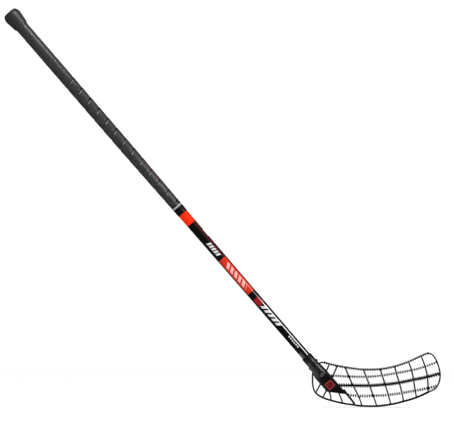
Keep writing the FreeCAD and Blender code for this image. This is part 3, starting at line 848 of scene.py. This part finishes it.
rim_widths = [width * MM for run, width in RIM_WIDTHS for place in run for step in range(LINE_STEPS)]
upper_line = blade_line(((0.126, 0.580), *UPPER, (0.969, 0.826)))
main_line = blade_line(((0.188, 0.402), *MAIN, (0.990, 0.620)))
lower_line = blade_line(((0.278, 0.227), *LOWER, (0.969, 0.396)))
column_lines = [blade_line(column) for column in zip(TOP, UPPER, MAIN, LOWER, SOLE)]
heel_lines = [blade_line(line) for line in HEEL_BARS]
net = [
    rounded_bars([rim_line], RIM_WIDTH, RIM_DEPTH, True, rim_widths),
    rounded_bars([main_line], MAIN_WIDTH, RIM_DEPTH),
    rounded_bars([upper_line, lower_line], THIN_WIDTH, INNER_DEPTH),
    rounded_bars([blade_line(SPUR)], SPUR_WIDTH, RIM_DEPTH),
    rounded_bars(column_lines, CROSS_WIDTH, INNER_DEPTH),
    *[rounded_bars([line], CROSS_WIDTH, INNER_DEPTH) for line in heel_lines],
]
print("net: %d cross bars, %d heel bars" % (len(column_lines), len(heel_lines)))

# %% [markdown]
# The long ribs, the top edge and part of the sole are rippled like a rope, to give the ball a hold. That
# ripple is a row of short teeth across each line, a few millimetres apart and slightly slanted. A tooth is
# a bar too, only very short, so the rows are made as the bars are, each with its own tooth length.

# %% Rope teeth
TOOTH_PITCH = 4.4 * MM
TOOTH_LEAN = math.radians(6)
TOOTH_WIDTH = 2.3 * MM


def tooth_lines(line, length):
    """Short slanted lines across a line, one in each pitch, leaning to the heel at their upper ends."""
    teeth = []
    gone = 0.0
    due = TOOTH_PITCH / 2
    for start, end in zip(line, line[1:]):
        along = (end - start).normalized()
        across = Vector((-along.y, along.x, 0))
        lean = across * math.cos(TOOTH_LEAN) - along * math.sin(TOOTH_LEAN)
        while gone + (end - start).length >= due:
            middle = start + along * (due - gone)
            teeth.append([middle - lean * length / 2, middle + lean * length / 2])
            due += TOOTH_PITCH
        gone += (end - start).length
    return teeth


top_line = blade_line((*HEEL_TOP, *TOP, TOE[0]))
sole_line = blade_line(SOLE[1:])
# line, tooth length in millimetres, depth
TOOTH_ROWS = (
    (upper_line, 5.0, INNER_DEPTH),
    (lower_line, 5.8, INNER_DEPTH),
    (main_line, 7.6, RIM_DEPTH),
    (top_line, 5.2, RIM_DEPTH),
    (sole_line, 4.2, RIM_DEPTH),
)
for line, length, depth in TOOTH_ROWS:
    net.append(rounded_bars(tooth_lines(line, length * MM), TOOTH_WIDTH, depth))
print("rows of teeth: %d" % len(TOOTH_ROWS))

# %% [markdown]
# The neck carries the shaft. Below a sleeve it is round, and at a shoulder it turns into a flat wedge. Its
# sections therefore go from ovals to nearly square ones, and a single curve gives both: an oval whose power
# is raised. Rings with that curve, bridged one to the next, make the body.

# %% Neck
MOUTH = 864 * MM
SLEEVE_RADIUS = 10.4
BEAD_RADIUS = 12.2
NECK_HALF = 13.2                # half the width of the flat wedge
NECK_SHIFT = 1.2
FLAT_POWER = 5
WEDGE_TOP = (54, 10.2)          # mm below the mouth, and half the depth there
WEDGE_END = (104, 4.8)
# place below the mouth, half width, half depth, power, shift
SLEEVE_STATIONS = ((0, 10.1, 10.1), (0.4, SLEEVE_RADIUS, SLEEVE_RADIUS), (40, SLEEVE_RADIUS, SLEEVE_RADIUS))
BEAD_STATIONS = ((5, BEAD_RADIUS, BEAD_RADIUS), (40, BEAD_RADIUS, BEAD_RADIUS))
BODY_STATIONS = (
    (15.5, 9.6, 9.6),
    (30, 11.3, 11.3),
    (36, 12.3, 11.4, 2, 0.6),
    (42, NECK_HALF, 11.3, 2.1, NECK_SHIFT),
    (48, NECK_HALF, 11.0, 2.8, NECK_SHIFT),
    (51, NECK_HALF, 10.5, 3.9, NECK_SHIFT),
    (WEDGE_TOP[0], NECK_HALF, WEDGE_TOP[1], FLAT_POWER, NECK_SHIFT),
    (WEDGE_END[0], NECK_HALF, WEDGE_END[1], FLAT_POWER, NECK_SHIFT),
    (130, NECK_HALF, 2.0, FLAT_POWER, NECK_SHIFT),
)
RING_STEPS = 64


def ring_points(place, half_width, half_depth, power=2, shift=0):
    """Points round a section of the neck, in millimetres, shifted to the heel side."""
    points = []
    for step in range(RING_STEPS):
        angle = math.tau * step / RING_STEPS
        across = math.copysign(abs(math.cos(angle)) ** (2 / power), math.cos(angle)) * half_width
        back = math.copysign(abs(math.sin(angle)) ** (2 / power), math.sin(angle)) * half_depth
        points.append(((across - shift) * MM, back * MM, level(MOUTH + place * MM)))
    return points


def lofted(stations):
    """Rings at places below the socket's mouth, bridged and capped."""
    shape = bmesh.new()
    loops = []
    for station in stations:
        ring = [shape.verts.new(point) for point in ring_points(*station)]
        loops.append([shape.edges.new(pair) for pair in zip(ring, ring[1:] + ring[:1])])
    for upper, lower in zip(loops, loops[1:]):
        bmesh.ops.bridge_loops(shape, edges=upper + lower)
    bmesh.ops.holes_fill(shape, edges=loops[0])
    bmesh.ops.holes_fill(shape, edges=loops[-1])
    return shape


body = lofted(BODY_STATIONS)
print("neck body: %d faces" % len(body.faces))

# %% [markdown]
# The sleeve ends in a rounded bead, and both are cut off on a slant. The foot of the neck is cut level with
# two places on the blade, after the neck has been leaned over. A bevel softens the edges that these cuts
# leave.

# %% Sleeve, bead and foot
SLANT_RISE = 2.75               # mm from the axis to the side
SLANT = Vector((SLANT_RISE / BEAD_RADIUS, 0, -1))
SLANT_PLACE = 23.25 * MM
BEAD_HEIGHT = 5 * MM
BEAD_ROUND = 1.2 * MM
FOOT_ROUND = 0.9 * MM
FOOT = ((0.134, 0.278), (0.266, 0.238))


def soften(shape, faces, width):
    """Rounds the edges round some flat faces."""
    edges = list({edge for face in faces for edge in face.edges})
    bmesh.ops.bevel(shape, geom=edges, offset=width, offset_type="OFFSET", segments=3, profile=0.5,
                    affect="EDGES", material=-1, clamp_overlap=True)


sleeve = lofted(SLEEVE_STATIONS)
slant_level = level(MOUTH + SLANT_PLACE)
trim(sleeve, (0, 0, slant_level), SLANT)
bead = lofted(BEAD_STATIONS)
bead_ends = trim(bead, (0, 0, slant_level), SLANT) + trim(bead, (0, 0, slant_level + BEAD_HEIGHT), -SLANT)
soften(bead, bead_ends, BEAD_ROUND)
bmesh.ops.transform(body, matrix=LEAN, verts=body.verts[:])
foot_start, foot_end = blade_line(FOOT)[0], blade_line(FOOT)[-1]
foot_slope = foot_end - foot_start
below_foot = STAND_UP @ Vector((foot_slope.y, -foot_slope.x, 0))
soften(body, trim(body, STAND_UP @ foot_start, below_foot), FOOT_ROUND)
neck_meshes = (closed_mesh(body, lean=False), closed_mesh(sleeve), closed_mesh(bead))
neck = [loose_object(mesh) for mesh in neck_meshes]
print("neck: body, sleeve and bead")

# %% [markdown]
# The tube's socket and the screws' recesses are taken out of the moulding. They are plain cylinders: one
# along the shaft, and two on each side for the screw, a narrow one for its shank and a wide one for its
# head.

# %% Holes
SCREW_TO_TIP = 9.5 * MM
SCREW_PLACE = TIP_PLACE - SCREW_TO_TIP
SCREW_SEAT = 9.6 * MM
SHANK_HOLE = 1.85 * MM          # radius
HEAD_RECESS = 4 * MM            # radius
CLEARANCE = 0.1 * MM
OVERRUN = 5 * MM
HOLE_REACH = 20 * MM
PEG_STEPS = 48


def peg(radius, start, end):
    """A cylinder between two points of the upright frame, leaned over with the shaft."""
    shape = bmesh.new()
    run = Vector(end) - Vector(start)
    turn = Vector((0, 0, 1)).rotation_difference(run).to_matrix().to_4x4()
    place = Matrix.Translation((Vector(start) + Vector(end)) / 2) @ turn
    bmesh.ops.create_cone(shape, cap_ends=True, segments=PEG_STEPS, radius1=radius, radius2=radius,
                          depth=run.length, matrix=place)
    return loose_object(closed_mesh(shape))


screw_level = level(SCREW_PLACE)
holes = [peg(TIP_RADIUS + CLEARANCE, (0, 0, level(MOUTH - OVERRUN)), (0, 0, level(TIP_PLACE)))]
for side in (-1, 1):
    far = side * HOLE_REACH
    holes.append(peg(SHANK_HOLE, (0, 0, screw_level), (0, far, screw_level)))
    holes.append(peg(HEAD_RECESS, (0, side * SCREW_SEAT, screw_level), (0, far, screw_level)))
print("holes: %d" % len(holes))

# %% [markdown]
# A union makes one skin of the bars, the teeth and the neck, as in the real moulding, and a difference then
# takes out the holes. Both are Boolean modifiers on a loose object, and only the resulting mesh is kept.

# %% One moulding
def combined(host, others, operation):
    """The mesh of one loose object joined with others, or cut by them, one after another. All are used up."""
    for other in others:
        modifier = host.modifiers.new("combine", "BOOLEAN")
        modifier.operation = operation
        modifier.solver = "MANIFOLD"
        modifier.object = other
    bpy.context.view_layer.update()
    evaluated = host.evaluated_get(bpy.context.evaluated_depsgraph_get())
    mesh = bpy.data.meshes.new_from_object(evaluated)
    for used in [host, *others]:
        bpy.data.objects.remove(used)
    return mesh


moulding = loose_object(combined(net[0], net[1:] + neck, "UNION"))
moulded_mesh = combined(moulding, holes, "DIFFERENCE")
print("moulding: %d faces" % len(moulded_mesh.polygons))

# %% [markdown]
# Last, the blade is hooked: from a third of its length on, it bends to the front along an arc. Moving each
# point by the depth of that arc keeps the bars' widths as they are.

# %% Hook
HOOK = 18 * MM
HOOK_START_SHARE = 0.33
blade_heel = SHAFT_TIP.x - SHAFT_TIP_SHARES[0] * BLADE_LENGTH
bend = blade_heel + HOOK_START_SHARE * BLADE_LENGTH
bend_reach = (1 - HOOK_START_SHARE) * BLADE_LENGTH
bend_radius = (bend_reach ** 2 + HOOK ** 2) / (2 * HOOK)
for vertex in moulded_mesh.vertices:
    past = max(0, vertex.co.x - bend)
    vertex.co.y -= bend_radius - math.sqrt(bend_radius ** 2 - past ** 2)
finish_piece("moulded_blade", moulded_mesh, [blade_finish], ["blade"])

# %% [markdown]
# A square plate sits on the neck's flat front. It is a thin bevelled block, tilted with the wedge, whose
# front is inset to leave a paler border round a sunk face.

# %% Neck plate
PLATE_SIDE = 15 * MM
PLATE_THICKNESS = 1.6 * MM
PLATE_PLACE = 934.5 * MM
PLATE_BORDER = 1.6 * MM
PLATE_SINK = 0.35 * MM
PLATE_ROUND = 0.35 * MM
WEDGE_TILT = math.atan2(WEDGE_TOP[1] - WEDGE_END[1], WEDGE_END[0] - WEDGE_TOP[0])
plate_drop = PLATE_PLACE - MOUTH - WEDGE_TOP[0] * MM
plate_depth = WEDGE_TOP[1] * MM - plate_drop * math.tan(WEDGE_TILT)
plate = bmesh.new()
bmesh.ops.create_cube(plate, size=1, matrix=Matrix.Diagonal((PLATE_SIDE, PLATE_THICKNESS, PLATE_SIDE, 1)))
bmesh.ops.bevel(plate, geom=plate.edges[:], offset=PLATE_ROUND, offset_type="OFFSET", segments=2, profile=0.5,
                affect="EDGES", material=-1)
for face in plate.faces:
    face.material_index = 1
plate_front = min(plate.faces, key=lambda face: face.calc_center_median().y)
bmesh.ops.inset_region(plate, faces=[plate_front], thickness=PLATE_BORDER, depth=0)
bmesh.ops.inset_region(plate, faces=[plate_front], thickness=PLATE_SINK, depth=-PLATE_SINK)
plate_front.material_index = 0
tilt = Matrix.Rotation(WEDGE_TILT, 4, "X")
seat = Matrix.Translation((-NECK_SHIFT * MM, -plate_depth, level(PLATE_PLACE)))
bmesh.ops.transform(plate, matrix=seat @ tilt, verts=plate.verts[:])
finish_piece("neck_plate", closed_mesh(plate), [plate_red, plate_edge])

# %% [markdown]
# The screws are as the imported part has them, domed with a hexagon socket, so they only get their finish.

# %% Screws
for name in ("front_screw", "rear_screw"):
    screw = frame["nodes"][name]
    screw.data.materials.clear()
    screw.data.materials.append(steel)
print("screws: plated steel")

# %% [markdown]
# The stage is a pale floor under the sole and a bright surrounding. A dark glossy tube shows whatever it
# reflects, so the surrounding looks bright to the eye and to dull surfaces, and dim to reflections, as in a
# studio with black flags. Highlights then come from the softboxes, apart from the glints painted on the grip.

# %% Floor and surrounding
SURROUND = 1.12
SURROUND_GLOSSY = 0.06
FLOOR_WHITE = (0.93, 0.93, 0.93)
FLOOR_ROUGHNESS = 1.0
FLOOR_SHEEN = 0.5
FLOOR_GAP = 0.3 * MM
FLOOR_SIZE = 3.0
floor_shape = bmesh.new()
floor_place = Matrix.Translation((cad_box[0].x / 2 + cad_box[1].x / 2, 0, cad_box[0].z - FLOOR_GAP))
bmesh.ops.create_circle(floor_shape, cap_ends=True, segments=TURN_STEPS, radius=FLOOR_SIZE,
                        matrix=floor_place)
floor_mesh = bpy.data.meshes.new("floor")
floor_shape.to_mesh(floor_mesh)
floor_shape.free()
floor_mesh.materials.append(plain_finish("pale floor", FLOOR_WHITE, FLOOR_ROUGHNESS, FLOOR_SHEEN))
floor = bpy.data.objects.new("floor", floor_mesh)
bpy.context.scene.collection.objects.link(floor)
floor.visible_glossy = False

world = bpy.data.worlds.new("bright surrounding")
world.use_nodes = True
sky = world.node_tree.nodes["Background"]
sky.inputs["Color"].default_value = (1, 1, 1, 1)
ray = new_node(world.node_tree, "ShaderNodeLightPath")
dimming = sum_of(world.node_tree, "MULTIPLY", ray.outputs["Is Glossy Ray"], SURROUND_GLOSSY - SURROUND)
world.node_tree.links.new(sum_of(world.node_tree, "ADD", dimming, SURROUND), sky.inputs["Strength"])
bpy.context.scene.world = world
print("floor at %.1f mm" % (floor_place.translation.z / MM))

# %% [markdown]
# A softbox stands where the tube's side mirrors it to the camera: a highlight part of the way round towards
# the upper right comes from a light that is turned twice as far off the line of sight. Each stretch of the
# stick has a softbox of its own, with its own strength, because lacquer, film and grip take very different
# amounts of light. A last one lies on the floor under the shaft and shines up, as a bright table does.

# %% Softboxes
ACROSS = LEAN.to_3x3() @ Vector((1, 0, 0))
TOWARDS_CAMERA = Vector((0, -1, 0))
GLOW_SIZE = (0.14, 0.35)
GLOW_MIDDLE = (0.455, -0.08)
GLOW_POWER = 0.22
FACE_UP = Matrix.Rotation(math.pi, 4, "X")
# millimetres below the butt face, degrees off the line of sight, metres away, wide and long, watts
SOFTBOXES = (
    ("tip softbox", 833, 59, 1.4, 0.55, 0.15, 7.5),
    ("shaft softbox", 735, 58, 1.4, 0.60, 0.09, 1.0),
    ("band softbox", 600, 46, 1.4, 0.50, 0.20, 0.15),
    ("lower grip softbox", 450, 36, 0.35, 0.10, 0.06, 0.19),
    ("upper grip softbox", -200, 57, 0.6, 0.07, 0.60, 4.0),
)


def softbox_at(name, matrix, wide, long, power):
    """An area light with a place and a turn, which the camera itself doesn't see."""
    light = bpy.data.lights.new(name, "AREA")
    light.shape = "RECTANGLE"
    light.size, light.size_y = wide, long
    light.energy = power
    lamp = bpy.data.objects.new(name, light)
    lamp.matrix_world = matrix
    lamp.visible_camera = False
    bpy.context.scene.collection.objects.link(lamp)


def softbox(name, place, angle, distance, wide, long, power):
    """An area light beside the shaft at a place below the butt face, at an angle off the line of sight."""
    out = ACROSS * math.sin(math.radians(angle)) + TOWARDS_CAMERA * math.cos(math.radians(angle))
    turn = Matrix((UP_SHAFT.cross(out), UP_SHAFT, out)).transposed().to_4x4()
    spot = UP_SHAFT * level(place * MM) + out * distance
    softbox_at(name, Matrix.Translation(spot) @ turn, wide, long, power)


for values in SOFTBOXES:
    softbox(*values)
glow_place = Matrix.Translation((*GLOW_MIDDLE, floor_place.translation.z + FLOOR_GAP)) @ FACE_UP
softbox_at("table glow", glow_place, *GLOW_SIZE, GLOW_POWER)
print("softboxes along the stick: %d" % len(SOFTBOXES))

# %% [markdown]
# The camera looks straight at the front from far away, through a long lens, so that the stick shows almost
# without perspective and can be measured in the picture. Its distance follows from the width that the
# picture takes in.

# %% Camera
VIEW_WIDTH = 0.8626
VIEW_MIDDLE = (0.3586, -0.3165)
LENS = 500
SENSOR_WIDTH = 36
lens = bpy.data.cameras.new("camera")
lens.lens = LENS
lens.sensor_width = SENSOR_WIDTH
camera = bpy.data.objects.new("camera", lens)
camera.location = (VIEW_MIDDLE[0], -VIEW_WIDTH * LENS / SENSOR_WIDTH, VIEW_MIDDLE[1])
camera.rotation_euler = (math.radians(90), 0, 0)
bpy.context.scene.collection.objects.link(camera)
bpy.context.scene.camera = camera
bpy.context.scene.view_settings.view_transform = "Standard"
print("camera %.2f m away" % -camera.location.y)
